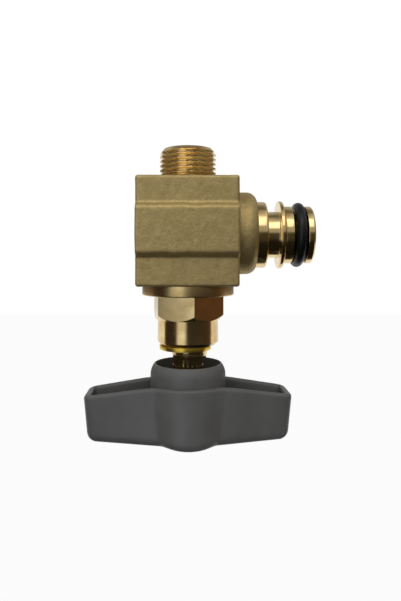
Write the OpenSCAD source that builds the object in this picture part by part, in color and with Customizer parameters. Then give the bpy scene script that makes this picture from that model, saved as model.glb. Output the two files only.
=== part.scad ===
// Boiler filling tap: an angle screw-down valve with a plug-in spigot and a two-winged handle.
// All sizes are millimetres. The origin lies on the spigot's axis, at the flange face that a
// socket's clip bears on. +X points out of the spigot and +Z up through the threaded inlet, so
// the handle hangs below. The valve's own axis is vertical and stands spigot_reach behind the origin.

/* [Cast body] */
// Width of the cast block, along the spigot
block_w = 28.5; // [27:0.5:32]
// Depth of the cast block, front to back
block_d = 28.5; // [27:0.5:32]
// Height of the block above the spigot's axis
block_up = 15.9; // [15:0.1:19]
// Height of the block below the spigot's axis
block_down = 14.6; // [14:0.1:18]
// Radius along the block's cast edges
block_edge_r = 0.8; // [0.3:0.1:1.4]
// How far the band stands out of the front and the back
band_out = 1.5; // [0.6:0.1:2.5]
// Top of the band above the spigot's axis
band_up = 7.5; // [6:0.1:9]
// Bottom of the band below the spigot's axis
band_down = 5.3; // [4:0.1:7]
// Radius of the round boss that carries the spigot
boss_r = 12.15; // [11:0.05:13]
// How far the boss's centre sits above the spigot's axis
boss_rise = 0.5; // [0:0.1:1]
// Rounding of the boss's rim
boss_round = 2.8; // [1:0.1:3.5]
// Radius of the turned skirt under the block
skirt_r = 13.5; // [12.5:0.1:14]
// Height of the skirt
skirt_h = 3; // [2:0.1:5]

/* [Inlet thread] */
// Crest radius of the inlet thread
inlet_r = 8.33; // [7.8:0.01:9]
// Height of the inlet above the block
inlet_len = 9.3; // [9:0.1:16]
// Pitch of the inlet thread
inlet_pitch = 1.337; // [1:0.001:1.5]
// Depth of the inlet thread
inlet_depth = 0.856; // [0.5:0.001:1]
// Plain neck between the block and the first thread
inlet_neck = 0.6; // [0.4:0.1:2]
// Width of the thread's crests and roots
inlet_land = 0.22; // [0.1:0.01:0.3]
// Height of the lead chamfer at the inlet's mouth
inlet_chamfer_h = 1.6; // [0.5:0.05:2]
// Radius of the inlet's end face
inlet_face_r = 7.2; // [6.8:0.1:7.6]
// Radius of the inlet waterway
inlet_bore_r = 5.5; // [5.1:0.1:5.8]

/* [Spigot] */
// Distance from the valve's axis to the flange face that the clip bears on
spigot_reach = 26.4; // [25:0.1:32]
// Width of the gap that the socket's clip drops into
clip_gap = 3.6; // [2.5:0.1:4.5]
// Radius at the bottom of the clip gap
clip_gap_r = 6.8; // [6.2:0.1:7.5]
// Width of the collar between boss and clip gap
collar_w = 2.7; // [1.5:0.1:3.5]
// Radius of the collar
collar_r = 9.76; // [9:0.01:10.5]
// Thickness of the flange
flange_t = 1.2; // [1:0.1:2]
// Radius of the flange
flange_r = 9.93; // [9.6:0.01:11]
// Chamfer on the flange's leading rim
flange_chamfer = 0.3; // [0.1:0.05:0.5]
// Radius of the barrel that enters the socket
barrel_r = 8.41; // [8.2:0.01:8.8]
// Length of the barrel past the flange
barrel_len = 8.6; // [8.4:0.1:12]
// Lead chamfer on the barrel's end
barrel_chamfer = 0.5; // [0.2:0.1:0.8]
// Radius of the outlet waterway
outlet_bore_r = 4.75; // [4.6:0.05:5]
// Section diameter of the spigot's O-ring
spigot_ring_d = 3; // [2.5:0.1:3.2]
// Radius of the circle through the O-ring's section
spigot_ring_r = 8; // [7.8:0.05:8.2]
// Plain barrel between flange and O-ring groove
spigot_groove_at = 2.65; // [2:0.05:3]
// Room that the groove leaves beside the O-ring, both sides together
spigot_groove_play = 0.9; // [0.5:0.05:1]
// How far the O-ring lies askew in its groove, in degrees
spigot_ring_tilt = 1.2; // [0:0.1:1.4]

/* [Seat and chamber] */
// Height of the seat's lip above the spigot's axis
seat_up = 5.6; // [5.2:0.1:6]
// Radius of the hole through the seat
seat_bore_r = 5; // [4.6:0.1:5]
// Depth of that hole, up to the inlet waterway
seat_bore_len = 3.4; // [2.6:0.1:5]
// Radius of the port between chamber and outlet waterway
port_r = 4.5; // [4:0.1:4.5]
// Distance from the valve's axis to the end of that port
port_len = 12; // [10:0.5:16]
// Width of the seat's lip
seat_lip_w = 1.2; // [0.5:0.1:1.4]
// Height of the lip above the chamber's roof
seat_lip_h = 1.9; // [1:0.1:3]
// Radius of the chamber
chamber_r = 7.8; // [7.7:0.05:8.2]
// Floor shoulder of the chamber below the spigot's axis
chamber_down = 5.2; // [5.1:0.1:6]
// Thread radius between body and bonnet
bonnet_thread_r = 9; // [8.8:0.05:9.2]
// Thickness of the flat gasket between body and bonnet
gasket_t = 1; // [0.6:0.1:1.2]

/* [Bonnet] */
// Width across the flats of the bonnet's hexagon
hex_af = 19; // [18.9:0.1:22]
// Height of the hexagon
hex_h = 7.1; // [5:0.1:10]
// Turn of the hexagon about the valve's axis, in degrees
hex_turn = -20; // [-60:1:60]
// Height of the chamfer on the hexagon's lower corners
hex_chamfer = 1.5; // [0.5:0.1:2]
// Radius of the bonnet's turned lower end
sleeve_r = 8.93; // [8.2:0.01:9.2]
// Length of the turned lower end
sleeve_h = 7.5; // [6:0.1:12]
// Chamfer at the bonnet's lower end
sleeve_chamfer = 1; // [0.3:0.1:1.4]
// Width across the flats of the bonnet's inner guide
guide_af = 12.4; // [12.3:0.1:12.8]
// Radius of the bonnet's spindle bore
spindle_bore_r = 5; // [4.9:0.05:5.2]
// Length of the spindle bore, up from the bonnet's lower end
spindle_bore_len = 10.6; // [10:0.1:11]

/* [Spindle] */
// Radial running clearance of the spindle in the bonnet
spindle_fit = 0.05; // [0.02:0.01:0.08]
// Radius of the spindle's inner collar
thrust_r = 5.8; // [5.6:0.05:6]
// Thickness of the inner collar
thrust_h = 2; // [1.2:0.1:2.4]
// Thickness of the slip washer under the inner collar
slip_t = 0.8; // [0.5:0.1:1.2]
// Radius of the lifting thread on the spindle
lift_thread_r = 3.95; // [3.5:0.05:4.2]
// Length of the lifting thread above the inner collar
lift_thread_len = 12.3; // [10:0.1:12.5]
// Section diameter of the spindle's O-rings
gland_ring_d = 1.4; // [1.2:0.05:1.6]
// Spacing of the two spindle O-rings
gland_pitch = 3.8; // [3:0.1:4]
// Radius at the bottom of the retaining ring's groove
clip_groove_r = 4.1; // [3.9:0.05:4.3]
// Thickness of the retaining ring
clip_t = 1.2; // [0.8:0.1:1.6]
// Outer radius of the retaining ring
clip_r = 7.6; // [7:0.1:8]
// How far the ring's outline sits off the valve's axis
clip_off = 0.8; // [0:0.1:1]
// Direction in which the ring's mouth opens, in degrees
clip_mouth_turn = 18; // [-180:1:180]
// Width of the ring's mouth
clip_mouth = 6.6; // [5.5:0.1:7.4]
// Radius of the two reliefs inside the ring
clip_relief_r = 1.3; // [0.8:0.1:1.5]
// Length of the tapered collar outside the bonnet
taper_h = 2.55; // [1.5:0.05:4]
// Radius at the top of the tapered collar
taper_top_r = 5.45; // [5:0.05:6]
// Radius at the bottom of the tapered collar
taper_end_r = 4.9; // [4.5:0.05:5.4]
// How far the tapered collar sits off the spindle's axis
taper_off = 0.45; // [0:0.05:0.5]
// Distance from the shoulder down to the first spindle O-ring
gland_at = 2.9; // [2:0.1:3.2]
// Length of the plain neck below the taper
neck_h = 2.1; // [1:0.1:4]
// Radius of the neck
neck_r = 4.3; // [4.2:0.05:4.6]
// Outer radius of the splined end
spline_r = 4.5; // [4.3:0.05:4.8]
// Depth of the splines
spline_depth = 0.4; // [0.2:0.05:0.6]
// Number of splines
spline_n = 20; // [12:1:24]
// Length of the splined end
spline_len = 13; // [9:0.1:16]

/* [Valve disc] */
// Outer radius of the cup that holds the seat washer
cup_r = 7.3; // [7.1:0.05:7.4]
// Height of the cup's rim round the seat washer
cup_rim = 1.6; // [0.8:0.1:2.2]
// Thickness of the cup's base
cup_base = 2; // [1.5:0.1:3]
// Radius of the rubber seat washer
seat_washer_r = 6.7; // [6.6:0.05:6.8]
// Thickness of the seat washer
seat_washer_t = 3; // [2:0.1:3.4]
// Length of the disc's hexagonal stem
stem_len = 14.85; // [12:0.05:15]
// Depth of the threaded hole up the stem
stem_hole = 12.3; // [11:0.1:12.6]
// Clearance of the stem's flats in the bonnet's guide
guide_fit = 0.1; // [0.05:0.01:0.15]
// Shank radius of the screw through the seat washer
seat_screw_r = 2; // [1.5:0.1:2.5]
// Head radius of that screw
seat_screw_head_r = 4; // [3.2:0.1:4.4]
// Head height of that screw
seat_screw_head_h = 2.2; // [1.5:0.1:3]
// Length of that screw's shank
seat_screw_len = 6.5; // [5:0.1:6.6]

/* [Handle] */
// Length of the handle from tip to tip
handle_len = 60; // [50:1:80]
// Turn of the handle about the valve's axis, in degrees
handle_turn = 2.2; // [-45:0.1:45]
// Height of the handle from its outer face to the hub's rim
handle_h = 22.4; // [20:0.1:26]
// Height of the wings' rim where it meets the hub
rim_h = 17.05; // [14:0.05:19]
// Height of the wings' rim at the tips
tip_h = 14.4; // [11:0.1:17]
// Half depth of the wings' rim, carried on to the valve's axis
wing_root = 9.4; // [9:0.1:10]
// Half depth of the rim at the tips
wing_tip = 6.9; // [6:0.1:8]
// Half depth of the wings at the outer face, carried on to the valve's axis
wing_root_low = 11; // [9:0.1:12]
// Half depth of the tips at the outer face
wing_tip_low = 5.5; // [5:0.1:8]
// How far the outer face rises from the hub to the tips
tip_rise = 0.4; // [0:0.1:1.5]
// Rounding of the wings' corners and lower edges
wing_round = 2.8; // [2.2:0.1:3.4]
// How far a tip draws in from its rim to the outer face
wing_draft = 0.9; // [0:0.1:1.5]
// Thickness of the handle's walls
handle_wall = 2; // [1.4:0.1:2.6]
// Thickness of the handle's outer face
handle_floor = 2.3; // [2.1:0.1:3]
// Radius of the bulge round the hub, at the rim
bulge_r = 12.3; // [11.8:0.1:14]
// Half depth of the bulge at the outer face
bulge_low = 14; // [12.5:0.1:15]
// Radius of the bulge's front and back at the outer face
bulge_low_r = 8.6; // [7:0.1:12]
// Radius of the hub
hub_r = 11.08; // [10.5:0.01:11.4]
// Radius inside the hub
hub_bore_r = 9.5; // [9:0.1:9.8]
// Radius of the curve that draws the hub in to its rim
hub_curve_r = 5.2; // [4:0.1:8]
// Height over which the hub draws in
hub_curve_h = 3.3; // [1:0.1:3.5]
// Radius of the socket boss inside the hub
socket_r = 6.8; // [6.4:0.1:7.6]
// Height of the socket boss above the web
socket_h = 7.2; // [5:0.1:9]
// Height of the web above the outer face
web_up = 8.95; // [8:0.05:10]
// Thickness of the web that the handle screw clamps
web_t = 2.6; // [1.8:0.1:3]
// Clearance of the splined socket
spline_fit = 0.03; // [0.01:0.01:0.06]
// Radius of the cover cap
cap_r = 6; // [5.6:0.1:6.2]
// Thickness of the cover cap
cap_t = 1.9; // [1.2:0.1:2]
// Clearance round the cover cap
cap_fit = 0.05; // [0.02:0.01:0.1]

/* [Handle screw] */
// Shank radius of the handle screw
handle_screw_r = 1.95; // [1.5:0.05:2.2]
// Length of the handle screw's shank
handle_screw_len = 10; // [8:0.5:14]
// Head radius of the handle screw
handle_screw_head_r = 3.7; // [3:0.1:4.2]
// Head height of the handle screw
handle_screw_head_h = 2.4; // [1.8:0.1:2.6]
// Radius of the washer under the head
screw_washer_r = 4.5; // [4.3:0.1:4.8]
// Thickness of that washer
screw_washer_t = 0.8; // [0.5:0.1:1]
// Radius of the recess that the head sits in
screw_recess_r = 4.9; // [4.85:0.05:5.2]

/* [Hidden] */
$fn = 96;

// Facets on the children of a hull
hull_fn = 32;
bulge_fn = 64;
// Overlap of a cut past the face that it opens
past = 1;
// Gap between flat faces of pieces that move on each other
slip_gap = 0.05;
// Gap between touching threads and other fixed fits
snug = 0.02;
// Chamfer on small turned edges
small_chamfer = 0.4;
// Slot across a screw's head
slot_w = 1;
slot_depth = 1.2;

// Heights along the valve's axis, from the spigot's axis
block_base = -block_down;
inlet_top = block_up + inlet_len;
skirt_base = block_base - skirt_h;
hex_base = skirt_base - hex_h;
sleeve_base = hex_base - sleeve_h;
chamber_base = -chamber_down;
neck_top = chamber_base - gasket_t;
washer_top = seat_up - slip_gap;
cup_floor = washer_top - seat_washer_t;
stem_top = cup_floor - cup_base;
stem_base = stem_top - stem_len;
chamber_roof = seat_up + seat_lip_h;

// Heights along the spindle, from its retaining ring upwards and downwards
clip_top = sleeve_base - 2 * slip_gap;
clip_base = clip_top - clip_t;
clip_groove_top = clip_top + slip_gap;
clip_groove_base = clip_base - slip_gap;
taper_base = clip_groove_base - taper_h;
neck_base = taper_base - neck_h;
spindle_end = neck_base - spline_len;
shoulder = sleeve_base + spindle_bore_len;
slip_base = shoulder + slip_gap;
thrust_base = slip_base + slip_t;
thrust_top = thrust_base + thrust_h;
lift_top = thrust_top + lift_thread_len;
counterbore_top = thrust_top + 3 * slip_gap;
counterbore_r = guide_af / 2 - 2 * slip_gap;
shaft_r = spindle_bore_r - spindle_fit;
gland_inner_z = shoulder - gland_at;
gland_outer_z = gland_inner_z - gland_pitch;
gland_ring_r = shaft_r - gland_ring_d / 2;
gland_groove_r = gland_ring_r - gland_ring_d / 2 - snug;
gland_groove_play = 0.5;
gland_groove_w = gland_ring_d + gland_groove_play;

// Places along the spigot, from the valve's axis
boss_face = spigot_reach - clip_gap - collar_w;
collar_face = spigot_reach - clip_gap;
flange_face = spigot_reach + flange_t;
spigot_end = flange_face + barrel_len;
ring_groove_start = flange_face + spigot_groove_at;
ring_groove_end = ring_groove_start + spigot_ring_d + spigot_groove_play;
ring_groove_r = spigot_ring_r - spigot_ring_d / 2 - snug;

// Levels of the handle
handle_base = spindle_end - web_up;
rim_slope = (rim_h - tip_h) / (handle_len / 2 - hub_r);
crown_h = rim_h + rim_slope * wing_root;

module on_valve_axis() {
    translate([-spigot_reach, 0, 0])
        children();
}

module along_spigot() {
    rotate([0, 90, 0])
        children();
}

// A piece turned about the vertical axis from points of radius and height
module turned(points) {
    rotate_extrude()
        polygon(points);
}

module rounded_rect(w, h, r) {
    square([w - 2 * r, h], center = true);
    square([w, h - 2 * r], center = true);
    for (x = [-1, 1], y = [-1, 1])
        translate([x * (w / 2 - r), y * (h / 2 - r)])
            circle(r);
}

// A block with every edge rounded, centred in plan and standing between two heights
module soft_block(w, d, base, top, r) {
    h = top - base;
    translate([0, 0, (top + base) / 2])
        intersection() {
            linear_extrude(h, center = true)
                rounded_rect(w, d, r);
            rotate([90, 0, 0])
                linear_extrude(d, center = true)
                    rounded_rect(w, h, r);
            rotate([90, 0, 90])
                linear_extrude(w, center = true)
                    rounded_rect(d, h, r);
        }
}

// One thread groove after another, as radius and height points
function thread_points(r, depth, pitch, land, start, count) =
    [
        for (i = [0 : count - 1], corner = [0 : 3])
            let (z = start + i * pitch, flank = pitch / 2 - land)
            [
                corner == 1 || corner == 2 ? r - depth : r,
                z + (corner == 0 ? land : corner == 1 ? land + flank : corner == 2 ? 2 * land + flank : pitch)
            ]
    ];

module cast_block() {
    soft_block(block_w, block_d, block_base, block_up, block_edge_r);
    soft_block(block_w, block_d + 2 * band_out, -band_down, band_up, block_edge_r);
}

module outlet_boss() {
    translate([0, 0, boss_rise])
        along_spigot()
            rotate_extrude() {
                square([boss_r, boss_face - boss_round]);
                square([boss_r - boss_round, boss_face]);
                translate([boss_r - boss_round, boss_face - boss_round])
                    circle(boss_round);
            }
}

module spigot() {
    along_spigot()
        turned([
            [0, 0],
            [collar_r, 0],
            [collar_r, collar_face - small_chamfer],
            [collar_r - small_chamfer, collar_face],
            [clip_gap_r, collar_face],
            [clip_gap_r, spigot_reach],
            [flange_r, spigot_reach],
            [flange_r, flange_face - flange_chamfer],
            [flange_r - flange_chamfer, flange_face],
            [barrel_r, flange_face],
            [barrel_r, ring_groove_start],
            [ring_groove_r, ring_groove_start],
            [ring_groove_r, ring_groove_end],
            [barrel_r, ring_groove_end],
            [barrel_r, spigot_end - barrel_chamfer],
            [barrel_r - barrel_chamfer, spigot_end],
            [0, spigot_end]
        ]);
}

module threaded_inlet() {
    thread_start = block_up + inlet_neck;
    thread_end = inlet_top - inlet_chamfer_h;
    count = floor((thread_end - thread_start - inlet_land) / inlet_pitch);
    points = thread_points(inlet_r, inlet_depth, inlet_pitch, inlet_land, thread_start, count);
    turned(concat(
        [[0, 0], [inlet_r, 0]],
        points,
        [[inlet_r, thread_end], [inlet_face_r, inlet_top], [0, inlet_top]]
    ));
}

module skirt() {
    turned([
        [0, 0],
        [skirt_r, 0],
        [skirt_r, skirt_base + small_chamfer],
        [skirt_r - small_chamfer, skirt_base],
        [0, skirt_base]
    ]);
}

// The waterway from the inlet through the seat and the chamber to the bonnet's thread
module valve_bore() {
    lip_r = seat_bore_r + seat_lip_w;
    seat_bore_top = seat_up + seat_bore_len;
    turned([
        [0, inlet_top + past],
        [inlet_bore_r, inlet_top + past],
        [inlet_bore_r, seat_bore_top],
        [seat_bore_r, seat_bore_top],
        [seat_bore_r, seat_up],
        [lip_r, seat_up],
        [lip_r + seat_lip_w / 2, chamber_roof],
        [chamber_r, chamber_roof],
        [chamber_r, chamber_base],
        [bonnet_thread_r, chamber_base],
        [bonnet_thread_r, skirt_base - past],
        [0, skirt_base - past]
    ]);
}

module outlet_bore() {
    along_spigot() {
        cylinder(r = port_r, h = spigot_end + past);
        translate([0, 0, port_len])
            cylinder(r = outlet_bore_r, h = spigot_end - port_len + past);
    }
}

module valve_body() {
    color("darkkhaki")
        on_valve_axis()
            difference() {
                union() {
                    cast_block();
                    outlet_boss();
                    spigot();
                    threaded_inlet();
                    skirt();
                }
                valve_bore();
                outlet_bore();
            }
}

module spigot_o_ring() {
    color("black")
        on_valve_axis()
            translate([(ring_groove_start + ring_groove_end) / 2, 0, 0])
                rotate([0, 90 + spigot_ring_tilt, 0])
                    rotate_extrude()
                        translate([spigot_ring_r, 0])
                            circle(spigot_ring_d / 2);
}

module hexagon_prism(af, base, top) {
    translate([0, 0, base])
        rotate([0, 0, hex_turn])
            cylinder(d = af / cos(30), h = top - base, $fn = 6);
}

module bonnet() {
    corner_r = hex_af / 2 / cos(30);
    color("goldenrod")
        on_valve_axis()
            difference() {
                union() {
                    intersection() {
                        hexagon_prism(hex_af, hex_base, skirt_base);
                        turned([
                            [0, skirt_base],
                            [corner_r + past, skirt_base],
                            [corner_r + past, hex_base + hex_chamfer + past],
                            [corner_r - hex_chamfer, hex_base],
                            [0, hex_base]
                        ]);
                    }
                    turned([
                        [0, neck_top],
                        [bonnet_thread_r - snug, neck_top],
                        [bonnet_thread_r - snug, skirt_base],
                        [sleeve_r, skirt_base],
                        [sleeve_r, sleeve_base + sleeve_chamfer],
                        [sleeve_r - sleeve_chamfer, sleeve_base],
                        [0, sleeve_base]
                    ]);
                }
                hexagon_prism(guide_af, counterbore_top, neck_top + past);
                turned([
                    [0, counterbore_top + past],
                    [counterbore_r, counterbore_top + past],
                    [counterbore_r, shoulder],
                    [spindle_bore_r, shoulder],
                    [spindle_bore_r, sleeve_base - past],
                    [0, sleeve_base - past]
                ]);
            }
}

module bonnet_gasket() {
    color("firebrick")
        on_valve_axis()
            translate([0, 0, neck_top])
                difference() {
                    cylinder(r = bonnet_thread_r - 2 * snug, h = gasket_t);
                    translate([0, 0, -past])
                        cylinder(r = chamber_r, h = gasket_t + 2 * past);
                }
}

function spline_points(r, depth, count) =
    [
        for (i = [0 : count - 1], side = [0 : 3])
            let (
                tooth = 360 / count,
                angle = tooth * (i + [0.1, 0.4, 0.6, 0.9][side]),
                radius = side == 0 || side == 3 ? r : r - depth
            )
            [radius * cos(angle), radius * sin(angle)]
    ];

module spindle() {
    half_groove = gland_groove_w / 2;
    tip_chamfer = 2 * small_chamfer;
    color("goldenrod")
        on_valve_axis()
            difference() {
                union() {
                    turned([
                        [0, lift_top],
                        [lift_thread_r - tip_chamfer, lift_top],
                        [lift_thread_r, lift_top - tip_chamfer],
                        [lift_thread_r, thrust_top],
                        [thrust_r, thrust_top],
                        [thrust_r, thrust_base],
                        [shaft_r, thrust_base],
                        [shaft_r, gland_inner_z + half_groove],
                        [gland_groove_r, gland_inner_z + half_groove],
                        [gland_groove_r, gland_inner_z - half_groove],
                        [shaft_r, gland_inner_z - half_groove],
                        [shaft_r, gland_outer_z + half_groove],
                        [gland_groove_r, gland_outer_z + half_groove],
                        [gland_groove_r, gland_outer_z - half_groove],
                        [shaft_r, gland_outer_z - half_groove],
                        [shaft_r, clip_groove_top],
                        [clip_groove_r, clip_groove_top],
                        [clip_groove_r, clip_groove_base],
                        [neck_r, clip_groove_base],
                        [neck_r, neck_base],
                        [0, neck_base]
                    ]);
                    translate([taper_off, 0, 0])
                        turned([
                            [0, clip_groove_base],
                            [taper_top_r, clip_groove_base],
                            [taper_end_r, taper_base],
                            [0, taper_base]
                        ]);
                    translate([0, 0, spindle_end])
                        linear_extrude(spline_len)
                            polygon(spline_points(spline_r, spline_depth, spline_n));
                }
                translate([0, 0, spindle_end - past])
                    cylinder(r = handle_screw_r + snug, h = handle_screw_len - web_t + past);
            }
}

module thrust_washer() {
    color("white")
        on_valve_axis()
            translate([0, 0, slip_base])
                difference() {
                    cylinder(r = thrust_r, h = slip_t);
                    translate([0, 0, -past])
                        cylinder(r = spindle_bore_r, h = slip_t + 2 * past);
                }
}

module gland_ring(z) {
    color("black")
        on_valve_axis()
            translate([0, 0, z])
                rotate_extrude()
                    translate([gland_ring_r, 0])
                        circle(gland_ring_d / 2);
}

module spindle_o_ring_inner() {
    gland_ring(gland_inner_z);
}

module spindle_o_ring_outer() {
    gland_ring(gland_outer_z);
}

// A snap ring whose three inner lobes bear in the spindle's groove
module retaining_ring() {
    relief_turns = [75, 285];
    color("gold")
        on_valve_axis()
            rotate([0, 0, clip_mouth_turn])
                translate([0, 0, clip_base])
                    difference() {
                        translate([-clip_off, 0, 0])
                            cylinder(r = clip_r, h = clip_t);
                        translate([0, 0, -past])
                            cylinder(r = clip_groove_r + snug, h = clip_t + 2 * past);
                        translate([0, -clip_mouth / 2, -past])
                            cube([clip_r + past, clip_mouth, clip_t + 2 * past]);
                        for (turn = relief_turns)
                            rotate([0, 0, turn])
                                translate([clip_groove_r, 0, -past])
                                    cylinder(r = clip_relief_r, h = clip_t + 2 * past);
                    }
}

module valve_disc() {
    color("peru")
        on_valve_axis()
            difference() {
                union() {
                    turned([
                        [0, cup_floor],
                        [seat_washer_r + slip_gap, cup_floor],
                        [seat_washer_r + slip_gap, cup_floor + cup_rim],
                        [cup_r, cup_floor + cup_rim],
                        [cup_r, stem_top],
                        [0, stem_top]
                    ]);
                    hexagon_prism(guide_af - 2 * guide_fit, stem_base, stem_top);
                }
                translate([0, 0, stem_base - past])
                    cylinder(r = lift_thread_r + slip_gap, h = stem_hole + past);
                translate([0, 0, washer_top - seat_screw_len - 2 * slip_gap])
                    cylinder(r = seat_screw_r + snug, h = seat_screw_len);
            }
}

module seat_washer() {
    color("black")
        on_valve_axis()
            translate([0, 0, cup_floor])
                difference() {
                    cylinder(r = seat_washer_r, h = seat_washer_t);
                    translate([0, 0, -past])
                        cylinder(r = seat_screw_r + snug, h = seat_washer_t + 2 * past);
                }
}

// A round-headed screw with its shank hanging down from the head
module slotted_screw(shank_r, shank_len, head_r, head_h) {
    difference() {
        turned([
            [0, -shank_len],
            [shank_r - small_chamfer, -shank_len],
            [shank_r, small_chamfer - shank_len],
            [shank_r, 0],
            [head_r, 0],
            [head_r, head_h - small_chamfer],
            [head_r - small_chamfer, head_h],
            [0, head_h]
        ]);
        translate([-head_r - past, -slot_w / 2, head_h - slot_depth])
            cube([2 * (head_r + past), slot_w, slot_depth + past]);
    }
}

module seat_screw() {
    color("goldenrod")
        on_valve_axis()
            translate([0, 0, washer_top])
                slotted_screw(seat_screw_r, seat_screw_len, seat_screw_head_r, seat_screw_head_h);
}

// Both wings as one form, drawn in towards the outer face and rounded at its lower edges
module wing_form(inset, floor_h, top_extra, round_r) {
    tip_x = handle_len / 2 - inset - round_r;
    edge = inset + round_r;
    hull() {
        for (x = [-1, 1], y = [-1, 1]) {
            translate([x * tip_x, y * (wing_tip - edge), tip_h + top_extra])
                cylinder(r = round_r, h = snug, $fn = hull_fn);
            translate([x * (tip_x - wing_draft), y * (wing_tip_low - edge), floor_h + tip_rise + round_r])
                sphere(round_r, $fn = hull_fn);
        }
        for (y = [-1, 1]) {
            translate([0, y * (wing_root - edge), crown_h + top_extra])
                cylinder(r = round_r, h = snug, $fn = hull_fn);
            translate([0, y * (wing_root_low - edge), floor_h + round_r])
                sphere(round_r, $fn = hull_fn);
        }
    }
}

module hub_form() {
    curve_base = handle_h - hub_curve_h;
    rotate_extrude() {
        square([hub_r, curve_base]);
        intersection() {
            translate([hub_r - hub_curve_r, curve_base])
                circle(hub_curve_r);
            translate([0, curve_base])
                square([hub_r, hub_curve_h]);
        }
        square([hub_r - hub_curve_r, handle_h]);
    }
}

// The bulge is round at the rim and swells to the front and back towards the outer face
module bulge_form() {
    swell = bulge_low - bulge_low_r;
    lip = snug;
    hull() {
        translate([0, 0, rim_h - lip])
            cylinder(r = bulge_r, h = lip, $fn = bulge_fn);
        for (y = [-1, 1])
            translate([0, y * swell, 0]) {
                translate([0, 0, wing_round])
                    cylinder(r = bulge_low_r, h = lip, $fn = bulge_fn);
                translate([0, 0, wing_round * (1 - cos(45))])
                    cylinder(r = bulge_low_r - wing_round * (1 - cos(45)), h = lip, $fn = bulge_fn);
                cylinder(r = bulge_low_r - wing_round, h = lip, $fn = bulge_fn);
            }
    }
}

module handle() {
    cavity_round = wing_round - handle_wall / 2;
    socket_top = web_up + socket_h;
    color("dimgray")
        on_valve_axis()
            translate([0, 0, handle_base])
                rotate([0, 0, handle_turn])
                    difference() {
                        union() {
                            difference() {
                                union() {
                                    wing_form(0, 0, 0, wing_round);
                                    bulge_form();
                                }
                                difference() {
                                    wing_form(handle_wall, handle_floor, past, cavity_round);
                                    cylinder(r = hub_r, h = handle_h);
                                }
                                translate([0, 0, handle_floor])
                                    cylinder(r = hub_bore_r, h = handle_h);
                            }
                            difference() {
                                hub_form();
                                translate([0, 0, handle_floor])
                                    cylinder(r = hub_bore_r, h = handle_h);
                            }
                            cylinder(r = socket_r, h = socket_top);
                        }
                        translate([0, 0, web_up])
                            linear_extrude(socket_h + past)
                                polygon(spline_points(spline_r + spline_fit, spline_depth, spline_n));
                        cylinder(r = handle_screw_r + 3 * slip_gap, h = web_up + past);
                        translate([0, 0, -past])
                            cylinder(r = screw_recess_r, h = web_up - web_t + past);
                        translate([0, 0, -past])
                            cylinder(r = cap_r + cap_fit, h = cap_t + past);
                    }
}

module handle_screw() {
    color("silver")
        on_valve_axis()
            translate([0, 0, handle_base + web_up - web_t - screw_washer_t])
                rotate([180, 0, 0])
                    slotted_screw(
                        handle_screw_r,
                        handle_screw_len,
                        handle_screw_head_r,
                        handle_screw_head_h
                    );
}

module handle_screw_washer() {
    color("silver")
        on_valve_axis()
            translate([0, 0, handle_base + web_up - web_t - screw_washer_t])
                difference() {
                    cylinder(r = screw_washer_r, h = screw_washer_t);
                    translate([0, 0, -past])
                        cylinder(r = handle_screw_r + slip_gap, h = screw_washer_t + 2 * past);
                }
}

module handle_cap() {
    edge = small_chamfer;
    color("dimgray")
        on_valve_axis()
            translate([0, 0, handle_base])
                turned([
                    [0, 0],
                    [cap_r - edge, 0],
                    [cap_r, edge],
                    [cap_r, cap_t],
                    [0, cap_t]
                ]);
}

valve_body();
spigot_o_ring();
bonnet();
bonnet_gasket();
spindle();
thrust_washer();
spindle_o_ring_inner();
spindle_o_ring_outer();
retaining_ring();
valve_disc();
seat_washer();
seat_screw();
handle();
handle_screw();
handle_screw_washer();
handle_cap();
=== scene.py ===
import math

import bmesh
import bpy
import numpy as np
from mathutils import Matrix, Vector, noise

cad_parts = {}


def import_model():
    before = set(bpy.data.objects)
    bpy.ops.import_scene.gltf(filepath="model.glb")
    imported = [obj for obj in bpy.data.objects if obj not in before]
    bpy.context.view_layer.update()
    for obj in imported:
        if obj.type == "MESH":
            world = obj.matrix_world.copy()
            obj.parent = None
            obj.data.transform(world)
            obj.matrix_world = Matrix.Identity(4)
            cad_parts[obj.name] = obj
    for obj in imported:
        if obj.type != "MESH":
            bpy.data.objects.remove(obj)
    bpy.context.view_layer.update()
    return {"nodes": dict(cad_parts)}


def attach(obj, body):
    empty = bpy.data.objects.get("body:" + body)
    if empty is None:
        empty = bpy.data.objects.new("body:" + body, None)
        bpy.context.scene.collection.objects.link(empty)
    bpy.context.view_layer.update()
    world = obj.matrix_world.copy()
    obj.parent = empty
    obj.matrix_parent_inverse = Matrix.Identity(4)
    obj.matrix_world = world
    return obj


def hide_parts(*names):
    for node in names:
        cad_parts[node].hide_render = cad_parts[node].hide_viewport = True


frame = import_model()
nodes = frame["nodes"]

MM = 0.001
# The valve's own axis stands this far behind the origin, which lies on the spigot's flange
REACH = 26.4
AXIS = -REACH


# ---------------------------------------------------------------- mesh helpers

def new_object(name, mesh):
    obj = bpy.data.objects.new(name, mesh)
    bpy.context.scene.collection.objects.link(obj)
    return obj


def from_bmesh(name, bm):
    bmesh.ops.recalc_face_normals(bm, faces=bm.faces)
    mesh = bpy.data.meshes.new(name)
    bm.to_mesh(mesh)
    bm.free()
    return new_object(name, mesh)


def evaluated(obj):
    """The object's mesh with its modifiers applied."""
    bpy.context.view_layer.update()
    graph = bpy.context.evaluated_depsgraph_get()
    mesh = bpy.data.meshes.new_from_object(obj.evaluated_get(graph))
    obj.modifiers.clear()
    obj.data = mesh
    return obj


def drop(obj):
    bpy.data.objects.remove(obj)


def shade(obj, angle=35):
    mesh = obj.data
    mesh.polygons.foreach_set("use_smooth", [True] * len(mesh.polygons))
    bm = bmesh.new()
    bm.from_mesh(mesh)
    limit = math.radians(angle)
    for edge in bm.edges:
        edge.smooth = not (edge.is_manifold and edge.calc_face_angle(0) > limit)
    bm.to_mesh(mesh)
    bm.free()


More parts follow.
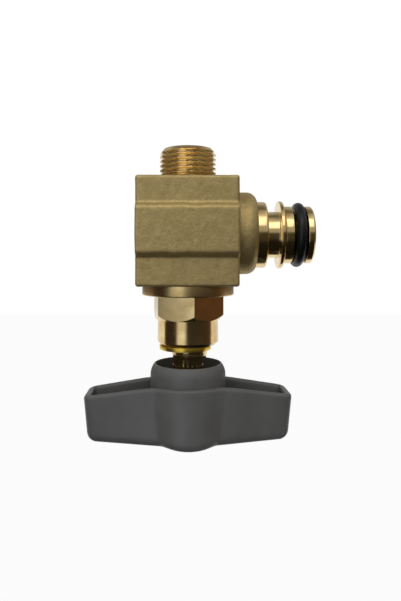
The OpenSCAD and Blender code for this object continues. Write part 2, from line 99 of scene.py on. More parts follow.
def rounded(points, steps=5):
    """A profile whose corners, given as (r, z, radius), are rounded."""
    out = []
    for i, (x, y, radius) in enumerate(points):
        here = Vector((x, y))
        if radius <= 0 or i in (0, len(points) - 1):
            out.append((x, y))
            continue
        before = Vector(points[i - 1][:2]) - here
        after = Vector(points[i + 1][:2]) - here
        a, b = before.normalized(), after.normalized()
        half = a.angle(b) / 2
        if half > math.radians(89.5):
            out.append((x, y))
            continue
        reach = min(radius / math.tan(half), before.length * 0.49, after.length * 0.49)
        r = reach * math.tan(half)
        centre = here + (a + b).normalized() * (r / math.sin(half))
        start = here + a * reach - centre
        sweep = start.angle_signed(here + b * reach - centre)
        for k in range(steps + 1):
            turn = -sweep * k / steps
            c, s = math.cos(turn), math.sin(turn)
            out.append((centre.x + c * start.x - s * start.y, centre.y + s * start.x + c * start.y))
    return out


def lathe(name, profile, segments=192, along="Z", at=(AXIS, 0, 0)):
    """A solid of revolution from a profile of (radius, height) whose ends lie on the axis or meet."""
    bm = bmesh.new()
    rings = []
    for r, h in profile:
        if r < 1e-6:
            rings.append([bm.verts.new((0, 0, h))])
        else:
            rings.append([
                bm.verts.new((r * math.cos(2 * math.pi * k / segments), r * math.sin(2 * math.pi * k / segments), h))
                for k in range(segments)
            ])
    closed = len(rings[0]) > 1 and len(rings[-1]) > 1
    pairs = list(zip(rings, rings[1:])) + ([(rings[-1], rings[0])] if closed else [])
    for low, high in pairs:
        for k in range(segments):
            n = (k + 1) % segments
            if len(low) == 1 and len(high) == 1:
                continue
            if len(low) == 1:
                bm.faces.new((low[0], high[n], high[k]))
            elif len(high) == 1:
                bm.faces.new((low[k], low[n], high[0]))
            else:
                bm.faces.new((low[k], low[n], high[n], high[k]))
    turn = Matrix.Rotation(math.pi / 2, 4, "Y") if along == "X" else Matrix.Identity(4)
    place = Matrix.Scale(MM, 4) @ Matrix.Translation(at) @ turn
    bmesh.ops.transform(bm, matrix=place, verts=bm.verts)
    return from_bmesh(name, bm)


def soft_box(name, low, high, radius, segments=3):
    bm = bmesh.new()
    bmesh.ops.create_cube(bm, size=1)
    low, high = Vector(low), Vector(high)
    for v in bm.verts:
        v.co = Vector((low[i] + (v.co[i] + 0.5) * (high[i] - low[i]) for i in range(3)))
    bmesh.ops.bevel(bm, geom=bm.edges[:], offset=radius, segments=segments, profile=0.5, affect="EDGES")
    bmesh.ops.transform(bm, matrix=Matrix.Scale(MM, 4), verts=bm.verts)
    return from_bmesh(name, bm)


def boolean(obj, tool, operation, keep=False):
    mod = obj.modifiers.new("boolean", "BOOLEAN")
    mod.operation = operation
    mod.solver = "MANIFOLD"
    mod.object = tool
    mod.material_mode = "TRANSFER"
    evaluated(obj)
    if not keep:
        drop(tool)
    return obj


def joined(name, objs):
    bm = bmesh.new()
    for obj in objs:
        bm.from_mesh(obj.data)
        drop(obj)
    mesh = bpy.data.meshes.new(name)
    bm.to_mesh(mesh)
    bm.free()
    return new_object(name, mesh)


def remeshed(obj, voxel):
    mod = obj.modifiers.new("voxels", "REMESH")
    mod.mode = "VOXEL"
    mod.voxel_size = voxel * MM
    return evaluated(obj)


def coords(mesh):
    co = np.empty(len(mesh.vertices) * 3)
    mesh.vertices.foreach_get("co", co)
    return co.reshape(-1, 3)


def normals(mesh):
    no = np.empty(len(mesh.vertices) * 3)
    mesh.vertices.foreach_get("normal", no)
    return no.reshape(-1, 3)


# ---------------------------------------------------------------- materials

class Nodes:
    """A short way to write the nodes of a material or of the world."""

    def __init__(self, name, world=False):
        self.mat = bpy.data.worlds.new(name) if world else bpy.data.materials.new(name)
        self.mat.use_nodes = True
        self.tree = self.mat.node_tree
        self.tree.nodes.clear()
        self.out = self.tree.nodes.new("ShaderNodeOutputWorld" if world else "ShaderNodeOutputMaterial")
        self.coord = self.tree.nodes.new("ShaderNodeTexCoord")

    def link(self, a, b):
        self.tree.links.new(a, b)

    def set(self, socket, value):
        if isinstance(value, bpy.types.NodeSocket):
            self.link(value, socket)
        else:
            socket.default_value = value

    def place(self, scale=(1, 1, 1), offset=(0, 0, 0)):
        node = self.tree.nodes.new("ShaderNodeMapping")
        self.link(self.coord.outputs["Object"], node.inputs["Vector"])
        node.inputs["Location"].default_value = offset
        node.inputs["Scale"].default_value = scale
        return node.outputs["Vector"]

    def noise(self, size_mm, detail=2, rough=0.5, stretch=(1, 1, 1), distortion=0.0, offset=(0, 0, 0)):
        node = self.tree.nodes.new("ShaderNodeTexNoise")
        self.link(self.place(stretch, offset), node.inputs["Vector"])
        node.inputs["Scale"].default_value = 1000 / size_mm
        node.inputs["Detail"].default_value = detail
        node.inputs["Roughness"].default_value = rough
        node.inputs["Distortion"].default_value = distortion
        return node.outputs["Fac"]

    def ramp(self, value, stops, interpolation="LINEAR"):
        node = self.tree.nodes.new("ShaderNodeValToRGB")
        node.color_ramp.interpolation = interpolation
        elements = node.color_ramp.elements
        first, last = elements[0], elements[1]
        first.position, last.position = stops[0][0], stops[-1][0]
        first.color, last.color = (*stops[0][1], 1), (*stops[-1][1], 1)
        for at, colour in stops[1:-1]:
            elements.new(at).color = (*colour, 1)
        self.link(value, node.inputs["Fac"])
        return node.outputs["Color"]

    def span(self, value, a0, a1, b0, b1):
        node = self.tree.nodes.new("ShaderNodeMapRange")
        self.set(node.inputs["Value"], value)
        for key, number in (("From Min", a0), ("From Max", a1), ("To Min", b0), ("To Max", b1)):
            node.inputs[key].default_value = number
        return node.outputs["Result"]

    def math(self, operation, a, b=0.0, c=0.0):
        node = self.tree.nodes.new("ShaderNodeMath")
        node.operation = operation
        for socket, value in zip(node.inputs, (a, b, c)):
            self.set(socket, value)
        return node.outputs["Value"]

    def mix(self, factor, a, b, blend="MIX"):
        node = self.tree.nodes.new("ShaderNodeMix")
        node.data_type = "RGBA"
        node.blend_type = blend
        self.set(node.inputs["Factor"], factor)
        self.set(node.inputs["A"], (*a, 1) if isinstance(a, tuple) else a)
        self.set(node.inputs["B"], (*b, 1) if isinstance(b, tuple) else b)
        return node.outputs["Result"]

    def bump(self, height, distance_mm, strength=1.0, normal=None):
        node = self.tree.nodes.new("ShaderNodeBump")
        node.inputs["Distance"].default_value = distance_mm * MM
        node.inputs["Strength"].default_value = strength
        self.link(height, node.inputs["Height"])
        if normal is not None:
            self.link(normal, node.inputs["Normal"])
        return node.outputs["Normal"]

    def shader(self, colour, roughness, metallic=0.0, normal=None, **sockets):
        node = self.tree.nodes.new("ShaderNodeBsdfPrincipled")
        self.set(node.inputs["Base Color"], (*colour, 1) if isinstance(colour, tuple) else colour)
        self.set(node.inputs["Roughness"], roughness)
        self.set(node.inputs["Metallic"], metallic)
        if normal is not None:
            self.link(normal, node.inputs["Normal"])
        for key, value in sockets.items():
            node.inputs[key.replace("_", " ")].default_value = value
        self.link(node.outputs["BSDF"], self.out.inputs["Surface"])
        return self.mat


def srgb(r, g, b):
    return tuple(((c / 255 + 0.055) / 1.055) ** 2.4 if c / 255 > 0.04045 else c / 255 / 12.92 for c in (r, g, b))


def make_cast_brass():
    n = Nodes("cast_brass")
    broad = n.noise(14, 3, 0.55)
    mottle = n.noise(1.5, 3, 0.6)
    grain = n.noise(0.42, 3, 0.65)
    pits = n.noise(0.75, 2, 0.5, offset=(3, 1, 2))
    colour = n.ramp(mottle, [
        (0.3, srgb(180, 157, 104)),
        (0.5, srgb(190, 168, 114)),
        (0.7, srgb(200, 178, 124)),
    ])
    colour = n.mix(n.span(broad, 0.35, 0.65, 0.0, 0.3), colour, srgb(182, 156, 98))
    colour = n.mix(n.span(grain, 0.25, 0.42, 0.4, 0.0), colour, srgb(140, 116, 72))
    rough = n.span(grain, 0.3, 0.7, 0.6, 0.48)
    normal = n.bump(grain, 0.07, 0.8)
    normal = n.bump(pits, 0.09, 0.7, normal)
    return n.shader(colour, rough, 0.85, normal)


def make_turned_brass(name, light, dark, rough=0.2, across="Z"):
    n = Nodes(name)
    stretch = {"Z": (0.05, 0.05, 1), "X": (1, 0.05, 0.05)}[across]
    rings = n.noise(0.22, 3, 0.7, stretch)
    tarnish = n.noise(3.5, 4, 0.6, offset=(1, 4, 2))
    colour = n.mix(n.span(tarnish, 0.3, 0.7, 0.0, 0.8), light, dark)
    roughness = n.span(tarnish, 0.3, 0.7, rough * 0.8, rough * 1.4)
    normal = n.bump(rings, 0.012, 0.6)
    return n.shader(colour, roughness, 1.0, normal)


def make_grey_plastic():
    n = Nodes("grey_plastic")
    grain = n.noise(0.35, 2, 0.5)
    cloud = n.noise(7, 3, 0.5)
    colour = n.mix(n.span(cloud, 0.3, 0.7, 0.0, 1.0), srgb(92, 91, 88), srgb(100, 99, 96))
    rough = n.span(cloud, 0.3, 0.7, 0.42, 0.52)
    return n.shader(colour, rough, 0.0, n.bump(grain, 0.03, 0.5), Specular_IOR_Level=0.5)


def make_rubber(name="rubber"):
    n = Nodes(name)
    cloud = n.noise(2.5, 3, 0.5)
    colour = n.mix(cloud, srgb(12, 12, 13), srgb(22, 22, 22))
    normal = n.bump(n.noise(0.4, 2, 0.5), 0.02, 0.5)
    return n.shader(colour, n.span(cloud, 0.3, 0.7, 0.3, 0.45), 0.0, normal, Specular_IOR_Level=0.3)


def make_plain(name, a, b, roughness, metallic=0.0, grain_mm=0.5, bump_mm=0.02):
    n = Nodes(name)
    cloud = n.noise(grain_mm * 6, 3, 0.5)
    colour = n.mix(cloud, a, b)
    rough = n.span(cloud, 0.3, 0.7, roughness * 0.85, roughness * 1.15)
    return n.shader(colour, rough, metallic, n.bump(n.noise(grain_mm, 2, 0.5), bump_mm, 0.5))


CAST = make_cast_brass()
BRASS_X = make_turned_brass("turned_brass_x", srgb(236, 212, 156), srgb(214, 182, 122), 0.14, "X")
BRASS_Z = make_turned_brass("turned_brass_z", srgb(232, 208, 150), srgb(206, 170, 112), 0.16, "Z")
BRASS_SKIRT = make_turned_brass("turned_brass_skirt", srgb(214, 188, 132), srgb(188, 156, 100), 0.3, "Z")
RING = make_turned_brass("ring_brass", srgb(246, 214, 96), srgb(228, 186, 70), 0.3, "Z")
PLASTIC = make_grey_plastic()
RUBBER = make_rubber()
GASKET = make_plain("gasket_fibre", srgb(88, 30, 22), srgb(108, 44, 32), 0.8)
SLIP = make_plain("slip_plastic", srgb(222, 220, 212), srgb(236, 234, 228), 0.45)
ZINC = make_plain("zinc_steel", srgb(170, 172, 176), srgb(196, 198, 202), 0.35, 1.0)


# ---------------------------------------------------------------- valve body

BLOCK_W, BLOCK_D, BLOCK_UP, BLOCK_DOWN = 28.5, 28.5, 15.9, 14.6
BAND_OUT, BAND_UP, BAND_DOWN = 1.5, 7.5, 5.3
INLET_TOP = 25.2


def band(w, d):
    """The raised band, whose upper and lower edges slope back to the block."""
    half = [
        (d - BAND_OUT, BAND_UP + 1.0),
        (d, BAND_UP - 0.25),
        (d, -BAND_DOWN + 0.1),
        (d - BAND_OUT, -BAND_DOWN - 1.3),
    ]
    section = half + [(-y, z) for y, z in reversed(half)]
    bm = bmesh.new()
    ends = [[bm.verts.new((AXIS + x, y, z)) for y, z in section] for x in (-w, w)]
    count = len(section)
    for k in range(count):
        n = (k + 1) % count
        bm.faces.new((ends[0][k], ends[0][n], ends[1][n], ends[1][k]))
    bm.faces.new(ends[0])
    bm.faces.new(list(reversed(ends[1])))
    bmesh.ops.bevel(bm, geom=bm.edges[:], offset=0.5, segments=3, profile=0.5, affect="EDGES")
    bmesh.ops.transform(bm, matrix=Matrix.Scale(MM, 4), verts=bm.verts)
    return from_bmesh("band", bm)


def casting():
    w, d = BLOCK_W / 2, BLOCK_D / 2
    inset = 0.06
    parts = [
        soft_box("block", (AXIS - w, -d + inset, -BLOCK_DOWN), (AXIS + w, d - inset, BLOCK_UP), 0.7),
        band(w, d + BAND_OUT - inset),
        lathe("boss", rounded([(0, 0, 0), (12.1, 0, 0), (12.1, 20.05, 2.9), (0, 20.05, 0)], 8), 96, "X", (AXIS, 0, 0.5)),
        lathe("neck", rounded([(0, 10, 0), (9.6, 10, 0), (9.3, 15.9, 0), (8.35, 16.7, 0.6), (0, 16.7, 0)], 4), 96),
    ]
    obj = remeshed(joined("casting", parts), 0.3)
    mesh = obj.data
    co, no = coords(mesh), normals(mesh)
    rel = co / MM - np.array([AXIS, 0, 0])
    # The band's edges wander a little, as the mould left them
    on_band = np.clip((np.abs(rel[:, 1]) - 14.3) / 0.5, 0, 1)
    move = np.zeros_like(rel)
    for i in range(len(rel)):
        x, y, z = rel[i]
        slow = noise.noise((x * 0.16, y * 0.16, z * 0.16))
        mid = noise.noise((x * 0.5 + 7, y * 0.5, z * 0.5))
        fine = noise.noise((x * 1.3 + 3, y * 1.3, z * 1.3))
        push = -0.05 + 0.08 * slow + 0.025 * mid + 0.02 * fine
        move[i] = no[i] * push
        if on_band[i] > 0:
            move[i, 2] += on_band[i] * 0.22 * noise.noise((x * 0.22, 5 if y > 0 else 1, 9 if z > 0 else 3))
    co = (rel + move + np.array([AXIS, 0, 0])) * MM
    mesh.vertices.foreach_set("co", co.ravel())
    mesh.update()
    mesh.materials.clear()
    mesh.materials.append(CAST)
    return obj


def threaded_inlet():
    """The inlet with its right-hand thread, as a closed height field round the axis."""
    crest, depth, pitch = 8.33, 0.856, 1.337
    segments, bottom, step = 144, 14.0, 0.07
    heights = list(np.arange(bottom, INLET_TOP - 1e-6, step)) + [INLET_TOP]
    bm = bmesh.new()
    rings = []
    for z in heights:
        ring = []
        run = min(max((z - 16.4) / 1.2, 0), 1)
        for k in range(segments):
            angle = 2 * math.pi * k / segments
            phase = (z / pitch - angle / (2 * math.pi)) % 1
            tooth = abs(2 * phase - 1)
            tooth = min(max((tooth - 0.12) / 0.74, 0), 1)
            tooth = tooth * tooth * (3 - 2 * tooth) * 0.35 + tooth * 0.65
            r = crest - depth * tooth * run
            over = z - (INLET_TOP - 1.8)
            if over > 0:
                r = min(r, crest - 0.73 * (over / 1.2) ** 1.6 if over < 1.2 else 7.6 - (over - 1.2) * 0.83)
            ring.append(bm.verts.new((r * math.cos(angle), r * math.sin(angle), z)))
        rings.append(ring)
    for low, high in zip(rings, rings[1:]):
        for k in range(segments):
            n = (k + 1) % segments
            bm.faces.new((low[k], low[n], high[n], high[k]))
    bm.faces.new(rings[-1])
    bm.faces.new(list(reversed(rings[0])))
    bmesh.ops.triangulate(bm, faces=[f for f in bm.faces if len(f.verts) > 4])
    bmesh.ops.transform(bm, matrix=Matrix.Scale(MM, 4) @ Matrix.Translation((AXIS, 0, 0)), verts=bm.verts)
    obj = from_bmesh("inlet", bm)
    obj.data.materials.append(BRASS_Z)
    return obj


def spigot():
    profile = rounded([
        (0, 12, 0),
        (9.2, 12, 0),
        (9.76, 19.2, 0),
        (9.76, 22.8, 0.75),
        (6.8, 22.8, 0.25),
        (6.8, 26.4, 0.25),
        (9.93, 26.4, 0.2),
        (9.93, 27.6, 0.5),
        (8.05, 27.6, 0.1),
        (8.05, 27.95, 0.1),
        (8.41, 27.95, 0.12),
        (8.41, 30.25, 0.25),
        (6.48, 30.25, 0.2),
        (6.48, 34.15, 0.2),
        (8.41, 34.15, 0.25),
        (8.41, 35.75, 0.25),
        (7.9, 36.2, 0.2),
        (0, 36.2, 0),
    ])
    obj = lathe("spigot", profile, 192, "X")
    obj.data.materials.append(BRASS_X)
    return obj


def skirt():
    obj = lathe("skirt", rounded([(0, -17.6, 0), (13.5, -17.6, 0.35), (13.5, -14.5, 0.15), (12, -14.0, 0), (0, -14.0, 0)]), 192)
    obj.data.materials.append(BRASS_SKIRT)
    return obj


def waterways():
    down = lathe("down", rounded([
        (0, INLET_TOP + 1, 0),
        (6.3, INLET_TOP + 1, 0),
        (5.5, INLET_TOP - 0.35, 0),
        (5.5, 9.0, 0.2),
        (5.0, 9.0, 0.2),
        (5.0, 5.6, 0.15),
        (6.2, 5.6, 0.2),
        (6.8, 7.5, 0.2),
        (7.8, 7.5, 0.2),
        (7.8, -5.2, 0.1),
        (9.0, -5.2, 0.1),
        (9.0, -17.3, 0),
        (9.4, -18.6, 0),
        (0, -18.6, 0),
    ], 3), 128)
    out = lathe("out", rounded([
        (0, 0, 0),
        (4.5, 0, 0),
        (4.5, 12, 0.2),
        (4.75, 12, 0.2),
        (4.75, 35.85, 0),
        (5.6, 37.2, 0),
        (0, 37.2, 0),
    ], 3), 128, "X")
    down.data.materials.append(BRASS_Z)
    out.data.materials.append(BRASS_X)
    return boolean(down, out, "UNION")


def valve_body():
    obj = casting()
    obj.name = "valve_body_casting"
    for piece in (skirt(), threaded_inlet(), spigot()):
        boolean(obj, piece, "UNION")
    boolean(obj, waterways(), "DIFFERENCE")
    shade(obj, 32)
    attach(obj, "valve")
    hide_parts("valve_body")
    return obj


# ---------------------------------------------------------------- handle

HANDLE_TURN = math.radians(2.2)
HANDLE_BASE = -60.15


HANDLE_TOP = 22.4
HUB_R, HUB_BORE_R = 11.08, 9.5
SOCKET_TOP = 16.15
WALL, FLOOR = 2.0, 2.3
EDGE_ROUND, RIM_ROUND, CORNER = 2.8, 0.9, 2.9


def smooth_max(a, b, blend):
    near = np.clip(1 - np.abs(a - b) / blend, 0, 1)
    return np.maximum(a, b) + near * near * blend / 4


def wing_depth(x, t):
    """Half the wings' depth, t running from the outer face, 0, to the rim, 1."""
    x = np.abs(x)
    return (11.0 - 0.209 * x) * (1 - t) + (9.4 - 0.092 * x) * t


def handle_depth(x, t):
    """Half the handle's depth, with the round bulge that swells towards the outer face."""
    reach = np.abs(x)
    shift, r = 5.4 * (1 - t), 8.6 + 3.7 * t
    inside = r * r - reach * reach
    bulge = np.where(inside > 0, shift + np.sqrt(np.maximum(inside, 0)), shift - (reach - r) * 3)
    return smooth_max(wing_depth(x, t), bulge, 2.4)


def handle_plan(t, inset, depth):
    """The handle's plan at one level, counter-clockwise, drawn in by inset."""
    tip = 29.1 + 0.9 * t
    flat = tip - CORNER
    slope = float(depth(flat - 0.5, t) - depth(flat, t)) / 0.5
    edge = float(depth(flat, t)) - CORNER * math.sqrt(1 + slope * slope)
    lean = math.atan(slope)
    right = []
    for k in range(8):
        turn = -math.pi / 2 + lean + (math.pi / 2 - lean) * k / 7
        right.append((flat + CORNER * math.cos(turn), -edge + CORNER * math.sin(turn)))
    for k in range(1, 6):
        right.append((tip, -edge + 2 * edge * k / 6))
    for k in range(8):
        turn = (math.pi / 2 - lean) * k / 7
        right.append((flat + CORNER * math.cos(turn), edge + CORNER * math.sin(turn)))
    xs = np.linspace(-flat, flat, 142)[1:-1]
    front = [(x, -y) for x, y in zip(xs, depth(xs, t))]
    pts = np.array(front + right + [(-x, -y) for x, y in front] + [(-x, -y) for x, y in right])
    along = np.roll(pts, -1, 0) - np.roll(pts, 1, 0)
    out = np.stack([along[:, 1], -along[:, 0]], 1)
    return pts - out / np.linalg.norm(out, axis=1)[:, None] * inset


def rim_height(x):
    return -smooth_max(-17.05, -(18.25 - 0.1386 * np.abs(x)), 1.0)


def tip_rise(x):
    return 0.4 * x * x / (27 * (np.abs(x) + 3))


def loft(name, rings):
    """A closed solid through rings of (plan, heights)."""
    bm = bmesh.new()
    made = [[bm.verts.new((x, y, z)) for (x, y), z in zip(plan, heights)] for plan, heights in rings]
    count = len(made[0])
    for low, high in zip(made, made[1:]):
        for k in range(count):
            n = (k + 1) % count
            bm.faces.new((low[k], low[n], high[n], high[k]))
    for ring in (list(reversed(made[0])), made[-1]):
        middle = bm.verts.new(sum((v.co for v in ring), Vector()) / count)
        for k in range(count):
            bm.faces.new((ring[k], ring[(k + 1) % count], middle))
    turn = Matrix.Rotation(HANDLE_TURN, 4, "Z")
    bmesh.ops.transform(bm, matrix=Matrix.Scale(MM, 4) @ Matrix.Translation((AXIS, 0, HANDLE_BASE)) @ turn, verts=bm.verts)
    return from_bmesh(name, bm)


def handle_shell():
    rings = []
    for k in range(7):
        turn = math.pi / 2 * k / 6
        rise = EDGE_ROUND * (1 - math.cos(turn))
        plan = handle_plan(rise / 17, EDGE_ROUND * (1 - math.sin(turn)), handle_depth)
        rings.append((plan, tip_rise(plan[:, 0]) + rise))
    low, high = EDGE_ROUND / 17, 1 - RIM_ROUND / 17
    for k in range(1, 13):
        u = k / 12
        plan = handle_plan(low + (high - low) * u, 0, handle_depth)
        base = tip_rise(plan[:, 0]) + EDGE_ROUND
        rings.append((plan, base + (rim_height(plan[:, 0]) - RIM_ROUND - base) * u))
    for k in range(1, 7):
        turn = math.pi / 2 * k / 6
        plan = handle_plan(1 - RIM_ROUND * (1 - math.sin(turn)) / 17, RIM_ROUND * (1 - math.cos(turn)), handle_depth)
        rings.append((plan, rim_height(plan[:, 0]) - RIM_ROUND * (1 - math.sin(turn))))
    return loft("handle_shell", rings)


def handle_hollow():
    """The hollow of both wings, with a fillet at its floor and a round at the rim's inner edge."""
    fillet = 1.6
    rings = []
    for k in range(6):
        turn = math.pi / 2 * k / 5
        rise = FLOOR + fillet * (1 - math.cos(turn))
        plan = handle_plan(rise / 17, WALL + fillet * (1 - math.sin(turn)), wing_depth)
        rings.append((plan, tip_rise(plan[:, 0]) + rise))
    low = (FLOOR + fillet) / 17
    for k in range(1, 9):
        u = k / 8
        plan = handle_plan(low + (1 - low) * u, WALL, wing_depth)
        base = tip_rise(plan[:, 0]) + FLOOR + fillet
        rings.append((plan, base + (rim_height(plan[:, 0]) - RIM_ROUND - base) * u))
    for k in range(1, 7):
        turn = math.pi / 2 * k / 6
        plan = handle_plan(1, WALL - RIM_ROUND * (1 - math.cos(turn)), wing_depth)
        rings.append((plan, rim_height(plan[:, 0]) - RIM_ROUND * (1 - math.sin(turn))))
    plan = handle_plan(1, WALL - RIM_ROUND, wing_depth)
    rings.append((plan, rim_height(plan[:, 0]) + 4))
    return loft("handle_hollow", rings)


def splined(name, r, depth, count, low, high):
    """A bar with straight splines, always turned and placed with the handle."""
    bm = bmesh.new()
    ends = [[], []]
    for k in range(count):
        for side, share in enumerate((0.1, 0.4, 0.6, 0.9)):
            angle = 2 * math.pi / count * (k + share)
            reach = r if side in (0, 3) else r - depth
            for end, z in zip(ends, (low, high)):
                end.append(bm.verts.new((reach * math.cos(angle), reach * math.sin(angle), z)))
    size = len(ends[0])
    for k in range(size):
        n = (k + 1) % size
        bm.faces.new((ends[0][k], ends[0][n], ends[1][n], ends[1][k]))
    for ring in ends:
        middle = bm.verts.new((0, 0, ring[0].co.z))
        for k in range(size):
            bm.faces.new((ring[k], ring[(k + 1) % size], middle))
    turn = Matrix.Rotation(HANDLE_TURN, 4, "Z")
    bmesh.ops.transform(bm, matrix=Matrix.Scale(MM, 4) @ Matrix.Translation((AXIS, 0, HANDLE_BASE)) @ turn, verts=bm.verts)
    return from_bmesh(name, bm)


def handle_lathe(name, profile, segments=160):
    return lathe(name, profile, segments, at=(AXIS, 0, HANDLE_BASE))


def handle():
    obj = handle_shell()
    obj.name = "handle_moulding"
    hollow = handle_hollow()
    boolean(hollow, handle_lathe("hub_keep", [(0, -1), (HUB_R - 0.4, -1), (HUB_R - 0.4, 30), (0, 30)]), "DIFFERENCE")
    boolean(obj, hollow, "DIFFERENCE")
    remeshed(obj, 0.34)
    curve = HANDLE_TOP - 3.3
    shoulder = [
        (HUB_R - 5.2 + 5.2 * math.cos(a), curve + 5.2 * math.sin(a))
        for a in np.linspace(0, math.asin(3.3 / 5.2), 12)
    ]
    hub = handle_lathe("hub", [(0, 4), (HUB_R, 4)] + shoulder[:-1] + rounded([
        (*shoulder[-2], 0),
        (*shoulder[-1], 0.12),
        (HUB_BORE_R, HANDLE_TOP, 0.15),
        (HUB_BORE_R, HANDLE_TOP - 1, 0),
    ], 3)[1:] + [(0, HANDLE_TOP - 1)])
    boolean(obj, hub, "UNION")
    bore = handle_lathe("bore", rounded([
        (6.8, FLOOR, 0),
        (HUB_BORE_R, FLOOR, 0.8),
        (HUB_BORE_R, HANDLE_TOP + 2, 0),
        (0, HANDLE_TOP + 2, 0),
        (0, SOCKET_TOP, 0),
        (6.8, SOCKET_TOP, 0.3),
        (6.8, FLOOR + 0.5, 0),
    ], 4))
    boolean(obj, bore, "DIFFERENCE")
    boolean(obj, splined("socket", 4.53, 0.4, 20, 8.95, 18), "DIFFERENCE")
    boolean(obj, handle_lathe("recess", [
        (0, -1), (6.05, -1), (6.05, 1.9), (4.9, 1.9), (4.9, 6.35), (2.1, 6.35), (2.1, 10), (0, 10),
    ], 96), "DIFFERENCE")
    obj.data.materials.clear()
    obj.data.materials.append(PLASTIC)
    shade(obj, 38)
    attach(obj, "turning")
    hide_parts("handle")
    return obj


# ---------------------------------------------------------------- pieces

valve_body()
handle()


def dress(name, material, slot_name=None, bevel=0.0, angle=30):
    obj = nodes[name]
    obj.data.materials.clear()
    obj.data.materials.append(material)
    weld = obj.modifiers.new("weld", "WELD")
    weld.merge_threshold = 2e-6
    if bevel:
        mod = obj.modifiers.new("bevel", "BEVEL")
        mod.width = bevel * MM
        mod.segments = 3
        mod.limit_method = "ANGLE"
        mod.angle_limit = math.radians(35)
        mod.harden_normals = False
    return obj


for name, material, bevel in (
    ("spigot_o_ring", RUBBER, 0),
    ("bonnet", BRASS_Z, 0.12),
    ("bonnet_gasket", GASKET, 0.05),
    ("spindle", BRASS_Z, 0.06),
    ("thrust_washer", SLIP, 0.05),
    ("spindle_o_ring_inner", RUBBER, 0),
    ("spindle_o_ring_outer", RUBBER, 0),
    ("retaining_ring", RING, 0.12),
    ("valve_disc", BRASS_Z, 0.1),
    ("seat_washer", RUBBER, 0.1),
    ("seat_screw", BRASS_Z, 0.08),
    ("handle_screw", ZINC, 0.08),
    ("handle_screw_washer", ZINC, 0.05),
    ("handle_cap", PLASTIC, 0.1),
):
    dress(name, material, bevel=bevel)


# ---------------------------------------------------------------- stage, lights, camera

SOFTER = 0.5
FLOOR_Z, FLOOR_FRONT, FLOOR_BACK, FLOOR_SIDE = -0.3, 0.16, 2.5, 1.6


def floor():
    bm = bmesh.new()
    steps = 12
    grid = [[
        bm.verts.new((
            -FLOOR_SIDE + 2 * FLOOR_SIDE * i / steps,
            FLOOR_FRONT + (FLOOR_BACK - FLOOR_FRONT) * j / steps,
            FLOOR_Z,
        ))
        for i in range(steps + 1)
    ] for j in range(steps + 1)]
    for j in range(steps):
        for i in range(steps):
            bm.faces.new((grid[j][i], grid[j][i + 1], grid[j + 1][i + 1], grid[j + 1][i]))
    obj = from_bmesh("floor", bm)
    n = Nodes("floor")
    speckle = n.noise(3, 2, 0.5)
    diffuse = n.tree.nodes.new("ShaderNodeBsdfDiffuse")
    n.link(n.mix(speckle, (0.78, 0.78, 0.77), (0.82, 0.82, 0.81)), diffuse.inputs["Color"])
    glow = n.tree.nodes.new("ShaderNodeEmission")
    glow.inputs["Color"].default_value = (1, 1, 1, 1)
    path = n.tree.nodes.new("ShaderNodeLightPath")
    seen = n.math("MAXIMUM", path.outputs["Is Camera Ray"], path.outputs["Is Glossy Ray"])
    seen = n.math("MAXIMUM", seen, path.outputs["Is Transmission Ray"])
    mix = n.tree.nodes.new("ShaderNodeMixShader")
    n.link(n.math("MULTIPLY", seen, 0.94), mix.inputs[0])
    n.link(diffuse.outputs[0], mix.inputs[1])
    n.link(glow.outputs[0], mix.inputs[2])
    n.link(mix.outputs[0], n.out.inputs["Surface"])
    obj.data.materials.append(n.mat)


def grey(value, tint=(1, 1, 1)):
    return tuple(value * c for c in tint)


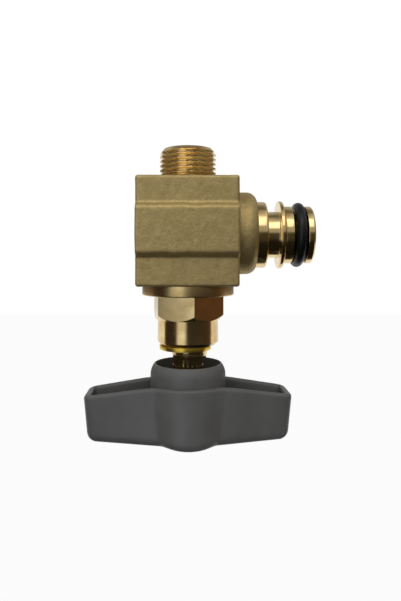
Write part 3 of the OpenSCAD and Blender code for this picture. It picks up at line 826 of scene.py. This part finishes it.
def world():
    """A studio with a white background, a bright ceiling in front, a soft window at the left and a dark room."""
    n = Nodes("studio", world=True)
    bpy.context.scene.world = n.mat
    split = n.tree.nodes.new("ShaderNodeSeparateXYZ")
    n.link(n.coord.outputs["Generated"], split.inputs[0])
    x, y, z = split.outputs["X"], split.outputs["Y"], split.outputs["Z"]
    warm = (1, 0.84, 0.66)
    height = n.span(z, -1, 1, 0, 1)
    depth = n.span(y, -1, 1, 0, 1)
    front = n.ramp(height, [(0.5 + 0.5 * at, grey(v, warm if v < 0.08 else (1, 1, 1))) for at, v in (
        (-1.0, 0.008), (-0.5, 0.012), (-0.32, 0.045), (0.02, 0.045), (0.2, 0.42), (0.47, 0.42), (0.57, 0.5),
        (0.7, 0.75), (0.85, 0.9), (0.93, 0.7), (0.98, 0.42), (1.0, 0.25),
    )])
    behind = n.ramp(height, [(0.5 + 0.5 * at, grey(v, warm if v < 0.2 else (1, 1, 1))) for at, v in (
        (-1.0, 0.008), (-0.9, 0.03), (-0.6, 0.08), (-0.35, 0.12), (0.0, 0.17), (0.3, 0.3), (0.5, 0.5),
        (0.75, 0.45), (0.9, 0.22), (0.97, 0.14), (1.0, 0.2),
    )])
    aback = n.ramp(depth, [(0.5, (0, 0, 0)), (0.56, (1, 1, 1))])
    room = n.mix(aback, front, behind)
    # Level with the part: dark red at the left, a warm glow at the right, dull grey further back
    level = n.ramp(height, [(0.3, (0, 0, 0)), (0.42, (1, 1, 1)), (0.54, (1, 1, 1)), (0.6, (0, 0, 0))])
    left_side = n.ramp(depth, [
        (0.12, (0.05, 0.045, 0.035)), (0.2, (0.03, 0.012, 0.008)), (0.46, (0.03, 0.012, 0.008)), (0.53, (0.05, 0.035, 0.025)),
        (0.64, (0.15, 0.125, 0.11)), (0.8, (0.17, 0.15, 0.14)), (0.93, (0.22, 0.22, 0.26)),
    ])
    right_side = n.ramp(depth, [
        (0.12, (0.05, 0.045, 0.035)), (0.36, (0.06, 0.035, 0.022)), (0.48, (0.13, 0.06, 0.032)), (0.58, (0.14, 0.075, 0.05)),
        (0.68, (0.19, 0.14, 0.11)), (0.8, (0.17, 0.14, 0.13)), (0.93, (0.16, 0.16, 0.18)),
    ])
    rightwards = n.ramp(n.span(x, -1, 1, 0, 1), [(0.45, (0, 0, 0)), (0.55, (1, 1, 1))])
    room = n.mix(level, room, n.mix(rightwards, left_side, right_side))
    backdrop = n.ramp(depth, [(0.945, (0, 0, 0)), (0.985, (1, 1, 1))])
    room = n.mix(backdrop, room, (1, 1, 1))
    # The window stands to the left of the camera, from 8 to 42 degrees off it
    ahead = n.math("MAXIMUM", n.math("MULTIPLY", y, -1.0), 0.05)
    across = n.math("DIVIDE", x, ahead)
    window = n.ramp(n.span(across, -1.5, 0.5, 0, 1), [
        (0.24, (0, 0, 0)), (0.36, (1, 1, 1)), (0.62, (1, 1, 1)), (0.74, (0, 0, 0)),
    ], "EASE")
    tall = n.ramp(height, [(0.22, (0, 0, 0)), (0.32, (1, 1, 1)), (0.68, (1, 1, 1)), (0.8, (0, 0, 0))], "EASE")
    in_front = n.ramp(depth, [(0.35, (1, 1, 1)), (0.45, (0, 0, 0))])
    window = n.math("MULTIPLY", n.math("MULTIPLY", window, tall), in_front)
    room = n.mix(window, room, (0.95, 1.0, 1.08))
    mirrored = n.tree.nodes.new("ShaderNodeBackground")
    n.link(room, mirrored.inputs["Color"])
    # For everything that isn't a mirror the room is softer
    soft = n.tree.nodes.new("ShaderNodeBackground")
    n.link(n.mix(SOFTER, room, (0.55, 0.57, 0.6)), soft.inputs["Color"])
    white = n.tree.nodes.new("ShaderNodeBackground")
    white.inputs["Color"].default_value = (1, 1, 1, 1)
    path = n.tree.nodes.new("ShaderNodeLightPath")
    first = n.tree.nodes.new("ShaderNodeMixShader")
    n.link(n.math("MAXIMUM", path.outputs["Is Glossy Ray"], path.outputs["Is Transmission Ray"]), first.inputs[0])
    n.link(soft.outputs[0], first.inputs[1])
    n.link(mirrored.outputs[0], first.inputs[2])
    second = n.tree.nodes.new("ShaderNodeMixShader")
    n.link(path.outputs["Is Camera Ray"], second.inputs[0])
    n.link(first.outputs[0], second.inputs[1])
    n.link(white.outputs[0], second.inputs[2])
    n.link(second.outputs[0], n.out.inputs["Surface"])


def area(name, place, target, size, size_y, watts, colour=(1, 1, 1)):
    data = bpy.data.lights.new(name, "AREA")
    data.shape = "RECTANGLE"
    data.size, data.size_y = size, size_y
    data.energy = watts
    data.color = colour
    obj = bpy.data.objects.new(name, data)
    bpy.context.scene.collection.objects.link(obj)
    obj.location = place
    obj.rotation_euler = (Vector(target) - Vector(place)).to_track_quat("-Z", "Y").to_euler()
    return obj


def camera():
    data = bpy.data.cameras.new("camera")
    obj = bpy.data.objects.new("camera", data)
    bpy.context.scene.collection.objects.link(obj)
    data.sensor_width = 36
    data.lens = 32.35
    data.shift_x = 0.0108
    data.shift_y = -0.0757
    data.clip_start = 0.005
    data.clip_end = 20
    obj.location = ((AXIS + 1.78) * MM, -0.160, -5.93 * MM)
    obj.rotation_euler = (math.pi / 2, 0, 0)
    bpy.context.scene.camera = obj


floor()
world()
centre = (AXIS * MM, 0, -0.012)
area("top_front", (AXIS * MM - 0.05, -0.45, 0.5), centre, 0.6, 0.4, 0.9)
camera()
bpy.context.scene.view_settings.view_transform = "Standard"
